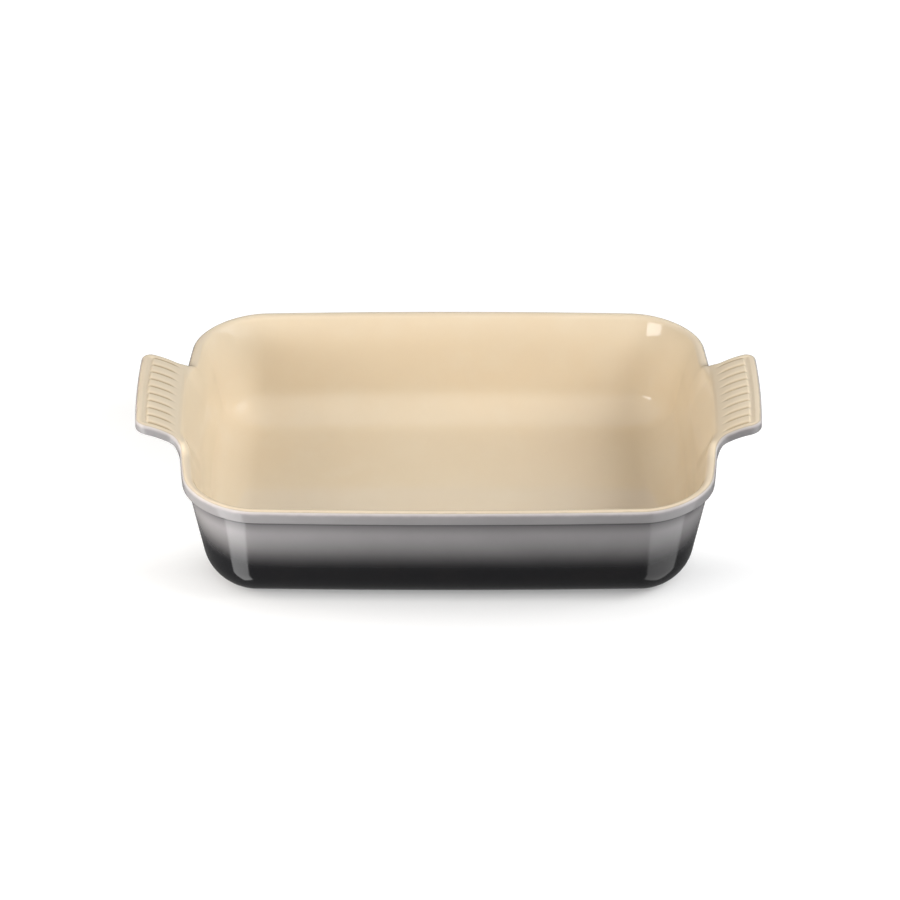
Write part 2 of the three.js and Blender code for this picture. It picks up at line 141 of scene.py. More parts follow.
# Sizes that follow from the ones above
rim_end = RIM_LENGTH / 2
half_length = rim_end - END_BOW
half_width = RIM_WIDTH / 2 - SIDE_BOW
handle_half = HANDLE_WIDTH / 2
grip_half = handle_half - GRIP_BORDER
ridge_pitch = 2 * grip_half / RIDGE_COUNT
root_end = handle_half + HANDLE_ROOT_RADIUS
lip_line = rim_end - HANDLE_LIP
tip_line = rim_end + HANDLE_REACH
groove_end = HANDLE_REACH - TIP_BORDER
wall_top = RIM_HEIGHT - COLLAR_HEIGHT - COLLAR_FILLET
flare_bottom = RIM_HEIGHT - FLARE_DEPTH
flare_inset = RIM_THICKNESS + (FLARE_DEPTH - FLARE_TOP) * math.tan(FLARE_LEAN)
straight_end = half_width - RIM_CORNER_RADIUS


def lerp(a, b, share):
    return a + (b - a) * share


def smooth(share):
    share = np.clip(share, 0, 1)
    return share * share * (3 - 2 * share)


def middles(count):
    """Middles of equal steps from 0 to 1."""
    return (np.arange(count) + 0.5) / count


def bowed(x, y):
    """Swells the sides of the plan outward."""
    along_x = np.clip(x / half_length, -1, 1)
    along_y = y / half_width
    return np.stack([
        x + END_BOW * along_x * (1 - along_y**2),
        y + SIDE_BOW * along_y * (1 - along_x**2),
    ], axis=-1)


# Stations round the dish: each has its place on the rim's plan and on the outer edge


def quarter_stations():
    """Columns span_x, span_y, turn, edge_x, edge_y and handle, from an end's middle to a side's."""
    tip = half_length + HANDLE_REACH
    corner_x = tip - HANDLE_CORNER_RADIUS
    corner_y = handle_half - HANDLE_CORNER_RADIUS
    root_x = half_length + HANDLE_ROOT_RADIUS
    rows = []

    def add_end(lip, x, y, handle):
        rows.append((1, lip / straight_end, 0, x, y, handle))

    for share in middles(TIP_STEPS):
        add_end(share * TIP_LIP, tip, share * corner_y, 1)
    sides = HANDLE_CORNER_STEPS + HANDLE_SIDE_STEPS
    for step, share in enumerate(middles(HANDLE_CORNER_STEPS)):
        turn = share * math.pi / 2
        lip = lerp(TIP_LIP, SIDE_LIP, (step + 0.5) / sides)
        x = corner_x + HANDLE_CORNER_RADIUS * math.cos(turn)
        add_end(lip, x, corner_y + HANDLE_CORNER_RADIUS * math.sin(turn), 1)
    for step, share in enumerate(middles(HANDLE_SIDE_STEPS)):
        lip = lerp(TIP_LIP, SIDE_LIP, (HANDLE_CORNER_STEPS + step + 0.5) / sides)
        add_end(lip, lerp(corner_x, root_x, share), handle_half, 1)
    for share in middles(ROOT_STEPS):
        turn = share * math.pi / 2
        x = root_x - HANDLE_ROOT_RADIUS * math.sin(turn)
        y = root_end - HANDLE_ROOT_RADIUS * math.cos(turn)
        add_end(lerp(SIDE_LIP, root_end, share), x, y, 1)
    for share in middles(END_STEPS):
        y = lerp(root_end, straight_end, share)
        add_end(y, half_length, y, 0)
    for share in middles(CORNER_STEPS):
        turn = share * math.pi / 2
        x = half_length + RIM_CORNER_RADIUS * (math.cos(turn) - 1)
        y = half_width + RIM_CORNER_RADIUS * (math.sin(turn) - 1)
        rows.append((1, 1, turn, x, y, 0))
    for share in middles(SIDE_STEPS):
        span = 1 - share
        rows.append((span, 1, math.pi / 2, (half_length - RIM_CORNER_RADIUS) * span, half_width, 0))
    return np.array(rows)


def whole_loop(quarter):
    """The four quarters, anticlockwise from the middle of the front, with signs for X and Y."""
    parts = []
    for sign_x, sign_y, backward in ((1, -1, True), (1, 1, False), (-1, 1, True), (-1, -1, False)):
        part = quarter[::-1] if backward else quarter
        signs = np.tile((sign_x, sign_y), (len(part), 1))
        parts.append(np.hstack([part, signs]))
    return np.vstack(parts)


loop = whole_loop(quarter_stations())
span_x, span_y, turn, edge_x, edge_y, on_handle, sign_x, sign_y = loop.T
station_count = len(loop)
every_station = np.arange(station_count)
handle_stations = [np.flatnonzero((on_handle > 0) & (sign_x == side)) for side in (1, -1)]
wall_stations = np.flatnonzero((on_handle == 0) | (every_station % WALL_SKIP == 0))

edge_line = bowed(sign_x * edge_x, sign_y * edge_y)
edge_along = np.roll(edge_line, -1, axis=0) - np.roll(edge_line, 1, axis=0)
edge_along /= np.linalg.norm(edge_along, axis=1, keepdims=True)
edge_out = np.stack([edge_along[:, 1], -edge_along[:, 0]], axis=-1)


def plan_point(which, inset_x, inset_y):
    """Plan position on an outline drawn in from the rim line."""
    radius = np.maximum(RIM_CORNER_RADIUS - (inset_x + inset_y) / 2, BASE_CORNER_RADIUS)
    x = (half_length - inset_x - radius) * span_x[which] + radius * np.cos(turn[which])
    y = (half_width - inset_y - radius) * span_y[which] + radius * np.sin(turn[which])
    return bowed(sign_x[which] * x, sign_y[which] * y)


def edge_point(which, inward):
    return edge_line[which] - edge_out[which] * inward


def lip_inset(which):
    """Inner edge of the rim, drawn outward beside the handles."""
    y = np.abs(plan_point(which, RIM_THICKNESS, RIM_THICKNESS)[:, 1])
    share = smooth((root_end + LIP_EASE - y) / LIP_BLEND)
    return lerp(RIM_THICKNESS, HANDLE_LIP, share)


def lip_point(which, inward):
    inset = lip_inset(which) - inward
    return plan_point(which, inset, inset)


def raised(place, height):
    """Plan positions with a height for each."""
    return np.column_stack([place, np.broadcast_to(height, len(place))])


# Heights of rim and handles


def handle_share(y, ease):
    """0 along the rim, 1 across a handle."""
    return smooth((root_end + ease - np.abs(y)) / (root_end + ease - handle_half))


def handle_climb(x):
    """Rise of a handle above the rim, from its root to its tip."""
    outward = np.clip((np.abs(x) - lip_line) / (tip_line - lip_line), 0, 1)
    return lerp(HANDLE_TIP_RISE, HANDLE_ROOT_RISE, (1 - outward) ** HANDLE_SWEEP)


def top_height(place):
    return RIM_HEIGHT + handle_share(place[:, 1], HANDLE_EASE) * handle_climb(place[:, 0])


def underside_height(place):
    share = handle_share(place[:, 1], 0)
    thickness = lerp(COLLAR_HEIGHT, HANDLE_THICKNESS, share)
    return RIM_HEIGHT + share * handle_climb(place[:, 0]) - thickness


def grip_form(place):
    """Shares of ridge, of smooth strip, of full depth, and of the way past a ridge's end."""
    y = place[:, 1]
    swell = END_BOW * (1 - (y / half_width) ** 2)
    reach = np.abs(place[:, 0]) - half_length - swell
    last = (RIDGE_COUNT - 1) / 2
    crest = ridge_pitch * np.clip(np.round(y / ridge_pitch), -last, last)
    across = (y - crest) / (ridge_pitch / 2)
    beyond = np.maximum(reach - groove_end + RIDGE_END, 0) / RIDGE_END
    ridge = np.clip(1 - across**RIDGE_SQUARENESS - beyond**RIDGE_SQUARENESS, 0, 1)
    strip_start = HANDLE_REACH - TIP_STRIP - STRIP_RISE
    strip = smooth(np.maximum(np.abs(y) - grip_half, reach - strip_start) / STRIP_RISE)
    depth = smooth((reach - GROOVE_START) / GROOVE_SINK)
    return ridge, strip, depth, beyond


def pooled_and_shade_share(place):
    """1 along the bottoms of the grooves, where the glaze lies thickest and shade is painted."""
    ridge, strip, depth, beyond = grip_form(place)
    return depth * np.clip(1 - ridge - strip, 0, 1) * lerp(1, TIP_POOLED_AND_SHADE, smooth(beyond))


def grip_height(place):
    ridge, strip, depth, _ = grip_form(place)
    relief = np.maximum((RIDGE_CREST + GROOVE_DEPTH) * ridge, GROOVE_DEPTH * strip) - GROOVE_DEPTH
    return top_height(place) + depth * relief


# Walls


def wall_inset(height, top, top_inset, floor, lean, bend):
    """Distance of a wall from the rim line: a straight lean, then a round bend into the floor."""
    bend_top = floor + bend * (1 - math.sin(lean))
    if height >= bend_top:
        return top_inset + (top - height) * math.tan(lean)
    centre = top_inset + (top - bend_top) * math.tan(lean) + bend * math.cos(lean)
    return centre - math.sqrt(max(bend**2 - (bend - (height - floor)) ** 2, 0))


def outer_insets(height):
    """How far the outer wall lies in from the rim line, at an end and at a side."""
    wall = height, wall_top, COLLAR_OVERHANG, 0
    return wall_inset(*wall, END_LEAN, END_BEND), wall_inset(*wall, SIDE_LEAN, SIDE_BEND)


def outer_wall(which, height):
    return raised(plan_point(which, *outer_insets(height)), height)


def inner_wall(which, height):
    wall = height, flare_bottom, flare_inset, FLOOR_HEIGHT
    end = wall_inset(*wall, INNER_END_LEAN, INNER_END_BEND)
    side = wall_inset(*wall, INNER_SIDE_LEAN, INNER_SIDE_BEND)
    return raised(plan_point(which, end, side), height)


def flare_slope(which):
    """Run over drop of the flared wall under the inner edge."""
    drop = top_height(lip_point(which, 0)) - FLARE_TOP - flare_bottom
    return (flare_inset - lip_inset(which)) / drop


def inner_edge(which, share):
    """Plan position and drop round the inner edge, from the level top into the flare."""
    slope = flare_slope(which)
    whole_turn = math.pi / 2 - np.arctan(slope)
    start = FLARE_TOP * slope + INNER_EDGE_RADIUS * np.tan(whole_turn / 2)
    place = lip_point(which, start - INNER_EDGE_RADIUS * np.sin(share * whole_turn))
    return place, INNER_EDGE_RADIUS * (1 - np.cos(share * whole_turn))


def flare_wall(which, share):
    """From the inner edge (share 0) to below the flare (share 1), turning softly into the wall."""
    edge_height = top_height(lip_point(which, 0)) - inner_edge(which, 1)[1]
    height = lerp(edge_height, flare_bottom - FLARE_SOFTNESS, share)
    slope = flare_slope(which)
    below = flare_bottom - height
    bend = np.clip(below + FLARE_SOFTNESS, 0, None) ** 2 / (4 * FLARE_SOFTNESS)
    insets = [flare_inset + slope * below + (math.tan(lean) - slope) * bend
              for lean in (INNER_END_LEAN, INNER_SIDE_LEAN)]
    return raised(plan_point(which, *insets), height)


def bend_heights(floor, lean, bend):
    """Heights up a bend, closer together near the floor."""
    turns = np.linspace(0, math.pi / 2, BEND_ROWS + 1)
    return floor + bend * (1 - math.sin(lean)) * (1 - np.cos(turns))


class Skin:
    """A surface made of rows of points, and the faces between them."""

    def __init__(self):
        self.points = []
        self.faces = []

    def row(self, places, marks):
        """Adds points and returns their indices with marks of where each lies along the row."""
        first = len(self.points)
        self.points.extend(map(tuple, places))
        return list(range(first, len(self.points))), list(marks)

    def ring(self, which, places):
        """A row round the whole dish, marked by its stations."""
        return self.row(places, which)

    def band(self, lower, upper, closed=True):
        """Faces between two rows, which may differ in how many points they have."""
        ids = [list(lower[0]), list(upper[0])]
        marks = [list(lower[1]), list(upper[1])]
        if closed:
            for row in (0, 1):
                ids[row].append(ids[row][0])
                marks[row].append(marks[row][0] + station_count)
        i = j = 0
        while i < len(ids[0]) - 1 or j < len(ids[1]) - 1:
            next_i = marks[0][i + 1] if i < len(ids[0]) - 1 else math.inf
            next_j = marks[1][j + 1] if j < len(ids[1]) - 1 else math.inf
            if next_i == next_j:
                self.faces.append((ids[0][i], ids[0][i + 1], ids[1][j + 1], ids[1][j]))
                i, j = i + 1, j + 1
            elif next_i < next_j:
                self.faces.append((ids[0][i], ids[0][i + 1], ids[1][j]))
                i += 1
            else:
                self.faces.append((ids[0][i], ids[1][j + 1], ids[1][j]))
                j += 1

    def stack(self, rings):
        """Faces between each ring and the next."""
        for below, above in zip(rings, rings[1:]):
            self.band(below, above)

    def cover(self, ring, upward=True):
        """Fills a level ring with smaller ones round a middle point."""
        edge = np.array(self.points)[ring[0]]
        for step in range(1, FLOOR_ROWS):
            share = 1 - step / FLOOR_ROWS
            smaller = self.ring(ring[1], edge * (share, share, 1))
            self.band(*((ring, smaller) if upward else (smaller, ring)))
            ring = smaller
        ids = ring[0]
        centre = self.row([(0, 0, edge[0][2])], [0])[0][0]
        for here, after in zip(ids, ids[1:] + ids[:1]):
            self.faces.append((here, after, centre) if upward else (after, here, centre))

    def bridge(self, lower, upper, steps, place):
        """Faces from one full ring to the next, with extra rows across the handles."""
        def part(row, which):
            return [row[0][k] for k in which], [row[1][k] for k in which]

        right, left = handle_stations
        gaps = [np.arange(right[-1], left[0] + 1)]
        gaps.append(np.concatenate([np.arange(left[-1], station_count), np.arange(right[0] + 1)]))
        for which in gaps:
            lower_part = part(lower, which)
            upper_part = part(upper, which)
            marks = list(range(len(which)))
            self.band((lower_part[0], marks), (upper_part[0], marks), closed=False)
        for which in (right, left):
            inner = which[1:-1]
            rows = [part(lower, inner)]
            for step in range(1, steps):
                rows.append(self.row(place(inner, step / steps), inner))
            rows.append(part(upper, inner))
            for below, above in zip(rows, rows[1:]):
                self.band(below, above, closed=False)
            marks = list(range(steps + 1))
            first = [row[0][0] for row in rows], marks
            last = [row[0][-1] for row in rows], marks
            ends = [([lower[0][k], upper[0][k]], [0, steps]) for k in (which[0], which[-1])]
            self.band(first, ends[0], closed=False)
            self.band(ends[1], last, closed=False)


def point_normals(points, faces):
    """Normals of the points, each face weighted by its size."""
    normals = np.zeros_like(points)
    for corners in (3, 4):
        chosen = np.array([face for face in faces if len(face) == corners])
        if not len(chosen):
            continue
        spots = [points[chosen[:, corner]] for corner in range(corners)]
        if corners == 3:
            across = np.cross(spots[1] - spots[0], spots[2] - spots[0])
        else:
            across = np.cross(spots[2] - spots[0], spots[3] - spots[1])
        for corner in range(corners):
            np.add.at(normals, chosen[:, corner], across)
    return normals / np.linalg.norm(normals, axis=1, keepdims=True)


def thicken(skin, open_rows):
    """Closes a skin into a thin shell: a back below the surface, and the edges between."""
    points = np.array(skin.points)
    back = points - GLAZE_THICKNESS * point_normals(points, skin.faces)
    shift = len(points)
    faces = list(skin.faces)
    faces += [tuple(corner + shift for corner in reversed(face)) for face in skin.faces]
    for ids, lower in open_rows:
        for here, after in zip(ids, ids[1:] + ids[:1]):
            a, b = (after, here) if lower else (here, after)
            faces.append((a, b, b + shift, a + shift))
    return np.vstack([points, back]), faces


def add_object(name, points, faces, attributes):
    mesh = bpy.data.meshes.new(name)
    mesh.from_pydata(points.tolist(), [], faces)
    for key, values in attributes.items():
        attribute = mesh.attributes.new(key, "FLOAT", "POINT")
        attribute.data.foreach_set("value", values.astype(np.float32))
    mesh.shade_smooth()
    mesh.set_sharp_from_angle(angle=SHARP_ANGLE)
    piece = bpy.data.objects.new(name, mesh)
    bpy.context.scene.collection.objects.link(piece)
    return piece


def upper_edge(which, angle):
    """Round the outer top edge: 0 on the collar face, a right angle on the top."""
    inward = UPPER_EDGE_RADIUS * (1 - math.cos(angle))
    down = UPPER_EDGE_RADIUS * (1 - math.sin(angle))
    place = edge_point(which, inward)
    return raised(place, top_height(place) - down)


def parting_line():
    """Where the two coats meet."""
    return upper_edge(every_station, PARTING_ANGLE)


def under_fillet(which, angle):
    """Round the hollow bend under the collar: 0 on the wall, a right angle on the underside."""
    under = underside_height(plan_point(which, COLLAR_OVERHANG, COLLAR_OVERHANG))
    inset = COLLAR_OVERHANG - COLLAR_FILLET * (1 - math.cos(angle))
    return raised(plan_point(which, inset, inset), under - COLLAR_FILLET * (1 - math.sin(angle)))


def distance_from(line, points, furthest):
    """How far each point lies from a line round the dish, up to a limit."""
    near = np.full(len(points), furthest)
    for start in range(0, len(points), POINTS_AT_ONCE):
        block = points[start:start + POINTS_AT_ONCE]
        high = block[:, 2] > line[:, 2].min() - furthest
        if high.any():
            gap = np.linalg.norm(block[high][:, None] - line[None], axis=2).min(axis=1)
            near[start:start + POINTS_AT_ONCE][high] = np.minimum(gap, furthest)
    return near


def make_interior_glaze():
    """Cream coat: outer top edge, rim and handle tops, inside of the walls, floor."""
    skin = Skin()
    start = PARTING_ANGLE + PARTING_GAP / 2
    rings = [skin.ring(every_station, upper_edge(every_station, angle))
             for angle in np.linspace(start, math.pi / 2, EDGE_ROWS // 2 + 1)]
    skin.stack(rings)

    def grip(which, share):
        outer = edge_point(which, UPPER_EDGE_RADIUS)
        place = lerp(outer, inner_edge(which, 0)[0], share)
        return raised(place, grip_height(place))

    inner = []
    for share in np.linspace(0, 1, EDGE_ROWS + 1):
        place, drop = inner_edge(every_station, share)
        inner.append(skin.ring(every_station, raised(place, grip_height(place) - drop)))
    skin.bridge(rings[-1], inner[0], GRIP_ROWS, grip)
    for share in np.linspace(0, 1, FLARE_ROWS + 1)[1:]:
        inner.append(skin.ring(wall_stations, flare_wall(wall_stations, share)))
    bend = bend_heights(FLOOR_HEIGHT, INNER_END_LEAN, INNER_END_BEND)[::-1]
    straight = np.linspace(flare_bottom - FLARE_SOFTNESS, bend[0], WALL_ROWS + 1)[1:-1]
    for height in (*straight, *bend):
        inner.append(skin.ring(wall_stations, inner_wall(wall_stations, height)))
    skin.stack(inner)
    skin.cover(inner[-1])
    points, faces = thicken(skin, [(rings[0][0], True)])
    on_grip = points[:, 2] > RIM_HEIGHT
    # grooves of the grip: pooled glaze, and shade painted darker there
    pooled_and_shade = np.where(on_grip, pooled_and_shade_share(points), 0)
    attributes = {"pooled_and_shade": pooled_and_shade, "parting": distance_from(parting_line(), points, PARTING_REACH)}
    return add_object("interior_glaze_coat", points, faces, attributes)


def make_exterior_glaze():
    """Grey coat: outside of the walls, underside of collar and handles, and their outer edge."""
    skin = Skin()
    bend = bend_heights(0, END_LEAN, END_BEND)
    straight = np.linspace(bend[-1], wall_top - COLLAR_FILLET, WALL_ROWS + 1)[1:]
    heights = [GLAZE_END_HEIGHT, *bend[bend > LOWEST_BEND_ROW], *straight]
    wall = [skin.ring(wall_stations, outer_wall(wall_stations, height)) for height in heights]

    def underside(which, share):
        inset = COLLAR_OVERHANG - COLLAR_FILLET
        place = lerp(plan_point(which, inset, inset), edge_point(which, LOWER_EDGE_RADIUS), share)
        return raised(place, underside_height(place))

    def lower_edge(which, angle):
        place = edge_point(which, LOWER_EDGE_RADIUS * (1 - math.sin(angle)))
        return raised(place, underside_height(place) + LOWER_EDGE_RADIUS * (1 - math.cos(angle)))

    quarter_turn = np.linspace(0, math.pi / 2, EDGE_ROWS // 2 + 1)
    wall += [skin.ring(every_station, under_fillet(every_station, angle)) for angle in quarter_turn]
    skin.stack(wall)
    lower = [skin.ring(every_station, lower_edge(every_station, angle)) for angle in quarter_turn]
    skin.bridge(wall[-1], lower[0], UNDERSIDE_ROWS, underside)
    stop = PARTING_ANGLE - PARTING_GAP / 2
    upper = [skin.ring(every_station, upper_edge(every_station, angle))
             for angle in np.linspace(0, stop, EDGE_ROWS + 1)]
    skin.stack(lower + upper)
    points, faces = thicken(skin, [(wall[0][0], True), (upper[-1][0], False)])
    # shade painted into the glaze under the collar
    crease = under_fillet(every_station, math.pi / 4)
    attributes = {
        "parting": distance_from(parting_line(), points, PARTING_REACH),
        "crease": distance_from(crease, points, CREASE_REACH),
    }
    return add_object("exterior_glaze_coat", points, faces, attributes)


def make_underside_glaze():
    """Dark glaze in the hollow inside the foot, with a rounded edge."""
    skin = Skin()
    end, side = outer_insets(0)
    extra = FOOT_WIDTH + FOOT_DRAFT + GLAZE_CLEARANCE
    top = FOOT_RECESS - GLAZE_CLEARANCE

    def pad_ring(inward, height):
        inset = extra + inward
        place = plan_point(wall_stations, end + inset, side + inset)
        return skin.ring(wall_stations, raised(place, height))

    rings = []
    for angle in math.pi * np.linspace(0, 1, EDGE_ROWS + 1):
        inward = PAD_EDGE_RADIUS * (1 - math.sin(angle))
        rings.append(pad_ring(inward, top - GLAZE_THICKNESS / 2 * (1 + math.cos(angle))))
    skin.stack(rings)
    skin.cover(rings[0], upward=False)
    skin.cover(rings[-1])
    return add_object("underside_glaze_pad", np.array(skin.points), skin.faces, {})


# Materials


# Sockets of a mix node for its two values and its result
MIX_SOCKETS = {"FLOAT": (2, 3, 0), "RGBA": (6, 7, 2)}


class NodeTree:
    """Short ways to add and join shader nodes."""

    def __init__(self, tree):
        self.tree = tree

    def add(self, kind, **settings):
        node = self.tree.nodes.new(kind)
        for key, value in settings.items():
            setattr(node, key, value)
        return node

    def join(self, source, target):
        """Links a socket to another, or sets a value on it."""
        if isinstance(source, bpy.types.NodeSocket):
            self.tree.links.new(source, target)
        else:
            target.default_value = source

    def spread(self, value, low, high, to_low=0.0, to_high=1.0, shape="SMOOTHSTEP"):
        """Maps a range of a value onto another."""
        node = self.add("ShaderNodeMapRange", interpolation_type=shape)
        limits = (("From Min", low), ("From Max", high), ("To Min", to_low), ("To Max", to_high))
        self.join(value, node.inputs["Value"])
        for key, limit in limits:
            self.join(limit, node.inputs[key])
        return node.outputs["Result"]

    def math(self, operation, a, b):
        node = self.add("ShaderNodeMath", operation=operation)
        self.join(a, node.inputs[0])
        self.join(b, node.inputs[1])
        return node.outputs[0]

    def mix(self, share, a, b, kind="RGBA"):
        node = self.add("ShaderNodeMix", data_type=kind)
        first, second, result = MIX_SOCKETS[kind]
        self.join(share, node.inputs[0])
        self.join(a, node.inputs[first])
        self.join(b, node.inputs[second])
        return node.outputs[result]


class Nodes(NodeTree):
    """The nodes of a new material."""

    def __init__(self, name):
        self.material = bpy.data.materials.new(name)
        self.material.use_nodes = True
        super().__init__(self.material.node_tree)
        self.shader = self.tree.nodes["Principled BSDF"]
        self.place = self.add("ShaderNodeTexCoord").outputs["Object"]

    def noise(self, scale, detail=3, roughness=0.5):
        node = self.add("ShaderNodeTexNoise")
        self.join(self.place, node.inputs["Vector"])
        node.inputs["Scale"].default_value = scale
        node.inputs["Detail"].default_value = detail
        node.inputs["Roughness"].default_value = roughness
        return node.outputs["Fac"]

    def patches(self, scale, detail, low, high, least=0.0, most=1.0):
        """Noise that gives the least up to its value low and the most from its value high."""
        return self.spread(self.noise(scale, detail), low, high, least, most)

    def attribute(self, name):
        return self.add("ShaderNodeAttribute", attribute_name=name).outputs["Fac"]

    def bump(self, height, strength, distance, below=None):
        node = self.add("ShaderNodeBump")
        node.inputs["Strength"].default_value = strength
        node.inputs["Distance"].default_value = distance
        self.join(height, node.inputs["Height"])
        if below is not None:
            self.join(below, node.inputs["Normal"])
        return node.outputs["Normal"]

    def finish(self, colour, roughness, normal, specular=0.5):
        self.join(colour, self.shader.inputs["Base Color"])
        self.join(roughness, self.shader.inputs["Roughness"])
        self.join(normal, self.shader.inputs["Normal"])
        self.shader.inputs["Specular IOR Level"].default_value = specular
        return self.material


def srgb(red, green, blue):
    """A colour from its 0 to 255 values on screen."""
    def linear(value):
        value /= 255
        return value / 12.92 if value <= 0.04045 else ((value + 0.055) / 1.055) ** 2.4
    return (linear(red), linear(green), linear(blue), 1)


CREAM = srgb(214, 199, 174)
CREAM_WARM = srgb(214, 197, 170)
CREAM_PALE = srgb(216, 202, 178)
# grooves of the grip: pooled glaze, darkened further as painted shade
CREAM_POOLED_AND_SHADE = srgb(164, 145, 115)
CREAM_SPECK = srgb(200, 181, 154)
PARTING_BEIGE = srgb(176, 163, 144)
GREY = srgb(138, 136, 137)
GREY_PALE = srgb(141, 139, 140)
GREY_DEEP = srgb(129, 127, 128)
# thin glaze over the outer top edge, paler still as a painted highlight
GREY_THIN_AND_HIGHLIGHT = srgb(184, 178, 176)
# painted shade under the collar
GREY_PAINTED_SHADE = srgb(86, 84, 86)
BASE_BLACK = srgb(22, 22, 24)
BASE_BROWN = srgb(26, 25, 26)
CLAY = srgb(199, 176, 148)
CLAY_DARK = srgb(170, 142, 112)
CLAY_SPECK = srgb(104, 78, 58)

SHADE_HEIGHT = 40.7 * MM  # middle of the change from grey to black
SHADE_WIDTH = 29 * MM
SHADE_CLIMB = 4 * MM  # the change lies higher by this much at the corners
SHADE_CLIMB_START = 0.72  # share of the half length where it begins to lie higher
SHADE_WANDER = 1.5 * MM  # how far the change wanders up and down
CREAM_EDGE = 1.2 * MM  # parting line to the full cream
GREY_EDGE = 2.6 * MM  # parting line to the full grey, past the pale band of thin glaze and painted highlight
CREASE_DARK = 1.5 * MM  # bend under the collar to where the painted shade begins to fade
PARTING_UNEVEN = 0.12 * MM  # how far the line between the coats wanders
WAVE_HEIGHT = 1.2 * MM  # slow waves in the glaze
PEEL_HEIGHT = 0.12 * MM  # its fine orange peel
GRAIN_HEIGHT = 0.3 * MM  # grain of the bare clay


def glaze_normal(nodes, broad, fine):
    """The slow waves and the fine orange peel of a fired glaze."""
    waves = nodes.bump(nodes.noise(scale=24, detail=2), broad, WAVE_HEIGHT)
    return nodes.bump(nodes.noise(scale=620, detail=2), fine, PEEL_HEIGHT, waves)


def from_parting(nodes):
    """Distance from the line where the coats meet, a little uneven."""
    uneven = nodes.patches(scale=160, detail=2, low=0.3, high=0.7,
                           least=-PARTING_UNEVEN, most=PARTING_UNEVEN)
    return nodes.math("ADD", nodes.attribute("parting"), uneven)


def cream_glaze():
    nodes = Nodes("cream_glaze")
    clouds = nodes.patches(scale=7, detail=2, low=0.35, high=0.68)
    mottle = nodes.patches(scale=45, detail=3, low=0.4, high=0.75, most=0.5)
    specks = nodes.patches(scale=1500, detail=1, low=0.74, high=0.8, most=0.3)
    # painted shade and pooled glaze in the grooves
    pooled_and_shade = nodes.spread(nodes.attribute("pooled_and_shade"), low=0.15, high=0.9, to_high=0.95)
    full = nodes.spread(from_parting(nodes), 0, CREAM_EDGE)
    colour = nodes.mix(clouds, CREAM, CREAM_WARM)
    colour = nodes.mix(mottle, colour, CREAM_PALE)
    colour = nodes.mix(specks, colour, CREAM_SPECK)
    colour = nodes.mix(pooled_and_shade, colour, CREAM_POOLED_AND_SHADE)
    colour = nodes.mix(full, PARTING_BEIGE, colour)
    roughness = nodes.patches(scale=40, detail=3, low=0.3, high=0.7, least=0.04, most=0.07)
    return nodes.finish(colour, roughness, glaze_normal(nodes, broad=0.05, fine=0.03))


def grey_glaze():
    nodes = Nodes("grey_glaze")
    split = nodes.add("ShaderNodeSeparateXYZ")
    nodes.join(nodes.place, split.inputs[0])
    centred = nodes.math("SUBTRACT", nodes.noise(scale=20, detail=3), 0.5)
    wander = nodes.math("MULTIPLY", centred, 2 * SHADE_WANDER)
    outward = nodes.math("ABSOLUTE", split.outputs["X"], 0.0)
    climb = nodes.spread(outward, SHADE_CLIMB_START * half_length, half_length, 0, SHADE_CLIMB)
    height = nodes.math("SUBTRACT", nodes.math("ADD", split.outputs["Z"], wander), climb)
    shade = nodes.spread(height, SHADE_HEIGHT - SHADE_WIDTH / 2, SHADE_HEIGHT + SHADE_WIDTH / 2)
    mottle = nodes.patches(scale=30, detail=4, low=0.35, high=0.7)
    specks = nodes.patches(scale=900, detail=2, low=0.62, high=0.76, most=0.3)
    # painted shade near the bend under the collar
    out_of_crease = nodes.spread(nodes.attribute("crease"), CREASE_DARK, CREASE_REACH)
    clouds = nodes.patches(scale=60, detail=4, low=0.4, high=0.75)
    # pale band of thin glaze and painted highlight over the outer top edge
    full = nodes.spread(from_parting(nodes), 0, GREY_EDGE)
    grey = nodes.mix(mottle, GREY, GREY_PALE)
    grey = nodes.mix(specks, grey, GREY_DEEP)
    grey = nodes.mix(out_of_crease, GREY_PAINTED_SHADE, grey)
    black = nodes.mix(clouds, BASE_BLACK, BASE_BROWN)
    colour = nodes.mix(full, GREY_THIN_AND_HIGHLIGHT, nodes.mix(shade, black, grey))
    roughness = nodes.patches(scale=45, detail=3, low=0.3, high=0.7, least=0.08, most=0.15)
    return nodes.finish(colour, roughness, glaze_normal(nodes, broad=0.05, fine=0.03))


def dark_glaze():
    nodes = Nodes("dark_glaze")
    clouds = nodes.patches(scale=50, detail=4, low=0.35, high=0.75)
    colour = nodes.mix(clouds, BASE_BLACK, BASE_BROWN)
    roughness = nodes.patches(scale=45, detail=3, low=0.3, high=0.7, least=0.14, most=0.28)
    return nodes.finish(colour, roughness, glaze_normal(nodes, broad=0.15, fine=0.08))


def bare_clay():
    nodes = Nodes("bare_clay")
    mottle = nodes.patches(scale=45, detail=5, low=0.3, high=0.7)
    specks = nodes.patches(scale=1100, detail=2, low=0.64, high=0.74, most=0.8)
    colour = nodes.mix(specks, nodes.mix(mottle, CLAY, CLAY_DARK), CLAY_SPECK)
    roughness = nodes.patches(scale=300, detail=3, low=0.3, high=0.7, least=0.75, most=0.92)
    grain = nodes.noise(scale=1400, detail=4, roughness=0.7)
    normal = nodes.bump(grain, strength=0.35, distance=GRAIN_HEIGHT)
    return nodes.finish(colour, roughness, normal, specular=0.25)


def dress(piece, material, slot, *nodes):
    piece.data.materials.clear()
    piece.data.materials.append(material)
    if nodes:
        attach(piece, "root")
        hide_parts(*nodes)


dress(make_interior_glaze(), cream_glaze(), "cream_glaze", "interior_glaze")
dress(make_exterior_glaze(), grey_glaze(), "grey_glaze", "exterior_glaze")
dress(make_underside_glaze(), dark_glaze(), "dark_glaze", "underside_glaze")
clay = bare_clay()
for node in ("stoneware_body", "handle_left", "handle_right"):
    dress(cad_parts[node], clay, "stoneware")


# Floor, light and camera

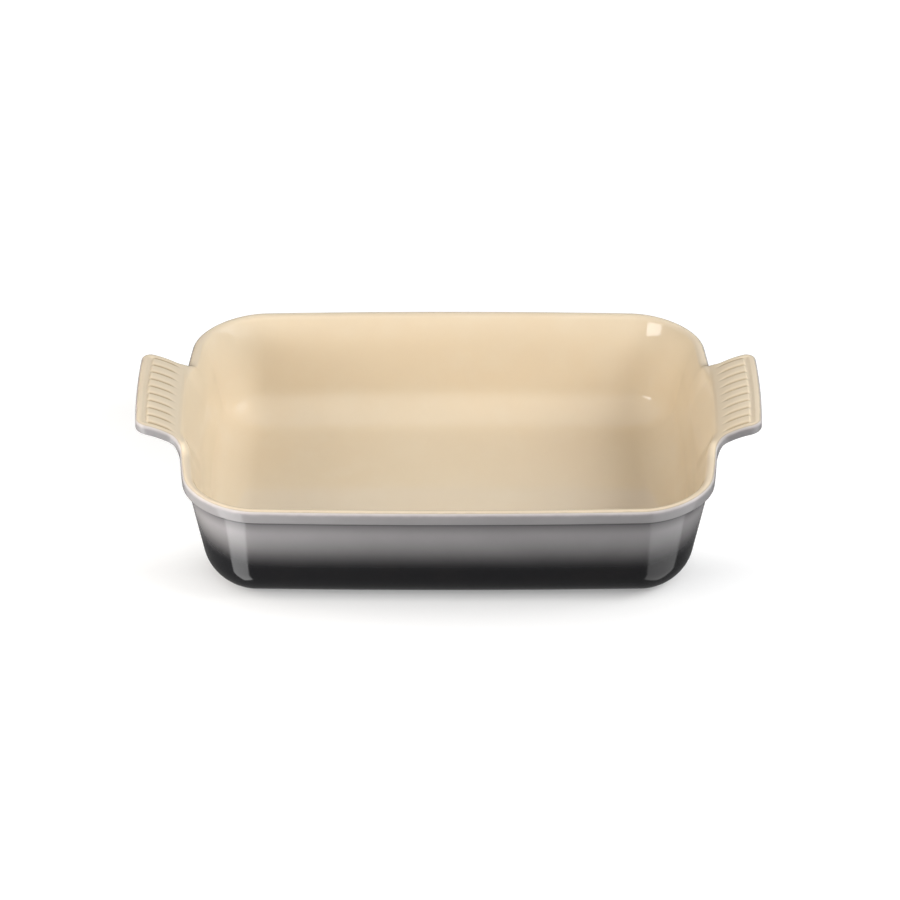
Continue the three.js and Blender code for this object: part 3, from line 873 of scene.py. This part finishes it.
FLOOR_SIZE = 14.0
FLOOR_PALE = srgb(180, 180, 180)
FLOOR_GRAIN = 0.1 * MM
FLOOR_GLOW = 0.95  # with the light of the lamps this comes to white
FLOOR_GLOW_NEAR = 0.68  # where the lamps are brightest, round the dish
GLOW_NEAR = 250 * MM
GLOW_FAR = 550 * MM
FLOOR_SHADOW = 0.5  # how much of the glow is lost in the shadow before the dish
FLOOR_SIDE_SHADOW = -0.12  # and made up for beside it, in the shadow of the lamps
FLOOR_SHADOW_REACH = 140 * MM
SHADOW_FRONT = 75 * MM  # the shadow weakens from here back
SHADOW_BLEND = 50 * MM
CAMERA_TARGET = Vector((0.0009, 0, 0.0439))
CAMERA_TILT = math.radians(32.33)
CAMERA_DISTANCE = 3.016
IMAGE_SIDE = 900
FOCAL_PIXELS = 4856  # focal length in pixels of that image
SENSOR = 36.0
DISH_MIDDLE = (0, 0, RIM_HEIGHT / 2)
PANEL_DISTANCE = 1.0
WHITE = (1, 1, 1)
WARM = (1, 0.9, 0.78)
HORIZON_BLEND = 0.45  # sine of the angle over which the world brightens above the horizon


def make_floor():
    """White to the camera, darker close to the dish, and duller in the light that it throws back."""
    half = FLOOR_SIZE / 2
    corners = [(-half, -half, 0), (half, -half, 0), (half, half, 0), (-half, half, 0)]
    mesh = bpy.data.meshes.new("studio_floor")
    mesh.from_pydata(corners, [], [(0, 1, 2, 3)])
    floor = bpy.data.objects.new("studio_floor", mesh)
    bpy.context.scene.collection.objects.link(floor)
    nodes = Nodes("studio_floor")
    grain = nodes.bump(nodes.noise(scale=200), strength=0.02, distance=FLOOR_GRAIN)
    nodes.finish(FLOOR_PALE, roughness=0.9, normal=grain, specular=0)
    open_share = nodes.add("ShaderNodeAmbientOcclusion", samples=16)
    open_share.inputs["Distance"].default_value = FLOOR_SHADOW_REACH
    split = nodes.add("ShaderNodeSeparateXYZ")
    nodes.join(nodes.place, split.inputs[0])
    side = SHADOW_BLEND - SHADOW_FRONT
    depth = nodes.spread(split.outputs["Y"], -SHADOW_FRONT, side, FLOOR_SHADOW, FLOOR_SIDE_SHADOW)
    hidden = nodes.math("SUBTRACT", 1.0, open_share.outputs["AO"])
    away = nodes.add("ShaderNodeVectorMath", operation="LENGTH")
    nodes.join(nodes.place, away.inputs[0])
    level = nodes.spread(away.outputs["Value"], GLOW_NEAR, GLOW_FAR, FLOOR_GLOW_NEAR, FLOOR_GLOW)
    glow = nodes.math("SUBTRACT", level, nodes.math("MULTIPLY", hidden, depth))
    seen = nodes.add("ShaderNodeLightPath").outputs["Is Camera Ray"]
    nodes.join((*WHITE, 1), nodes.shader.inputs["Emission Color"])
    nodes.join(nodes.math("MULTIPLY", seen, glow), nodes.shader.inputs["Emission Strength"])
    mesh.materials.append(nodes.material)
    floor.visible_glossy = False


def make_world(level, backdrop, below):
    """Even light from all round. The camera sees white, and reflections dim towards the horizon."""
    world = bpy.data.worlds.new("studio")
    world.use_nodes = True
    bpy.context.scene.world = world
    nodes = NodeTree(world.node_tree)
    split = nodes.add("ShaderNodeSeparateXYZ")
    nodes.join(nodes.add("ShaderNodeTexCoord").outputs["Generated"], split.inputs[0])
    mirrored = nodes.spread(split.outputs["Z"], 0, HORIZON_BLEND, below, backdrop, shape="LINEAR")
    path = nodes.add("ShaderNodeLightPath")
    rays = path.outputs["Is Glossy Ray"], path.outputs["Is Transmission Ray"]
    reflected = nodes.math("MAXIMUM", *rays)
    light = nodes.mix(reflected, level, mirrored, kind="FLOAT")
    strength = nodes.mix(path.outputs["Is Camera Ray"], light, backdrop, kind="FLOAT")
    background = nodes.tree.nodes["Background"]
    nodes.join(strength, background.inputs["Strength"])
    nodes.join((*WHITE, 1), background.inputs["Color"])


def add_softbox(name, place, aim, width, height, radiance, colour=WHITE, diffuse=True, glossy=True):
    """A soft lamp of even brightness, lighting surfaces, showing in reflections, or both."""
    lamp = bpy.data.lights.new(name, "AREA")
    lamp.shape = "RECTANGLE"
    lamp.size = width
    lamp.size_y = height
    lamp.energy = math.pi * radiance * width * height
    lamp.color = colour
    box = bpy.data.objects.new(name, lamp)
    box.location = place
    box.rotation_euler = (Vector(aim) - Vector(place)).to_track_quat("-Z", "Y").to_euler()
    box.visible_camera = False
    box.visible_diffuse = diffuse
    box.visible_glossy = glossy
    bpy.context.scene.collection.objects.link(box)


def around(azimuth, distance, height):
    """A place round the dish, azimuth in degrees from the front, to the right."""
    angle = math.radians(azimuth)
    return (distance * math.sin(angle), -distance * math.cos(angle), height)


def add_lamp(name, azimuth, distance, up, width, height, radiance, colour=WHITE):
    """A lamp turned to the dish that isn't seen in reflections."""
    place = around(azimuth, distance, up)
    add_softbox(name, place, DISH_MIDDLE, width, height, radiance, colour, glossy=False)


def add_panel(name, azimuth, middle, width, height, radiance):
    """An upright lamp that is seen only in reflections."""
    place = around(azimuth, PANEL_DISTANCE, middle)
    add_softbox(name, place, (0, 0, middle), width, height, radiance, diffuse=False)


def make_camera():
    data = bpy.data.cameras.new("camera")
    data.sensor_width = SENSOR
    data.lens = SENSOR * FOCAL_PIXELS / IMAGE_SIDE
    camera = bpy.data.objects.new("camera", data)
    back = Vector((0, -math.cos(CAMERA_TILT), math.sin(CAMERA_TILT)))
    camera.location = CAMERA_TARGET + CAMERA_DISTANCE * back
    camera.rotation_euler = Euler((math.pi / 2 - CAMERA_TILT, 0, 0))
    bpy.context.scene.collection.objects.link(camera)
    bpy.context.scene.camera = camera


make_floor()
make_world(level=0.2, backdrop=1.0, below=0.18)
add_lamp("key_right", azimuth=76, distance=1.3, up=0.95, width=0.8, height=0.8, radiance=10.9)
add_lamp("front_high", azimuth=8, distance=1.3, up=1.05, width=0.8, height=0.8, radiance=4.4)
add_lamp("left_side", azimuth=-75, distance=0.8, up=0.4, width=0.5, height=0.4, radiance=5.5,
         colour=WARM)
add_lamp("left_near", azimuth=-55, distance=0.55, up=0.12, width=0.35, height=0.18, radiance=9.5)

# Panels that only show as bright strips and spots in the glaze
add_panel("panel_low_left", azimuth=-44, middle=0.24, width=0.52, height=0.2, radiance=6.5)
add_panel("panel_tall_left", azimuth=-49.5, middle=-1.2, width=0.6, height=2.4, radiance=2.6)
add_panel("panel_tall_right", azimuth=60, middle=-1.05, width=1.15, height=2.7, radiance=1.05)
add_panel("panel_right", azimuth=82, middle=0.42, width=0.7, height=0.56, radiance=1.5)

make_camera()
bpy.context.scene.view_settings.view_transform = "Standard"
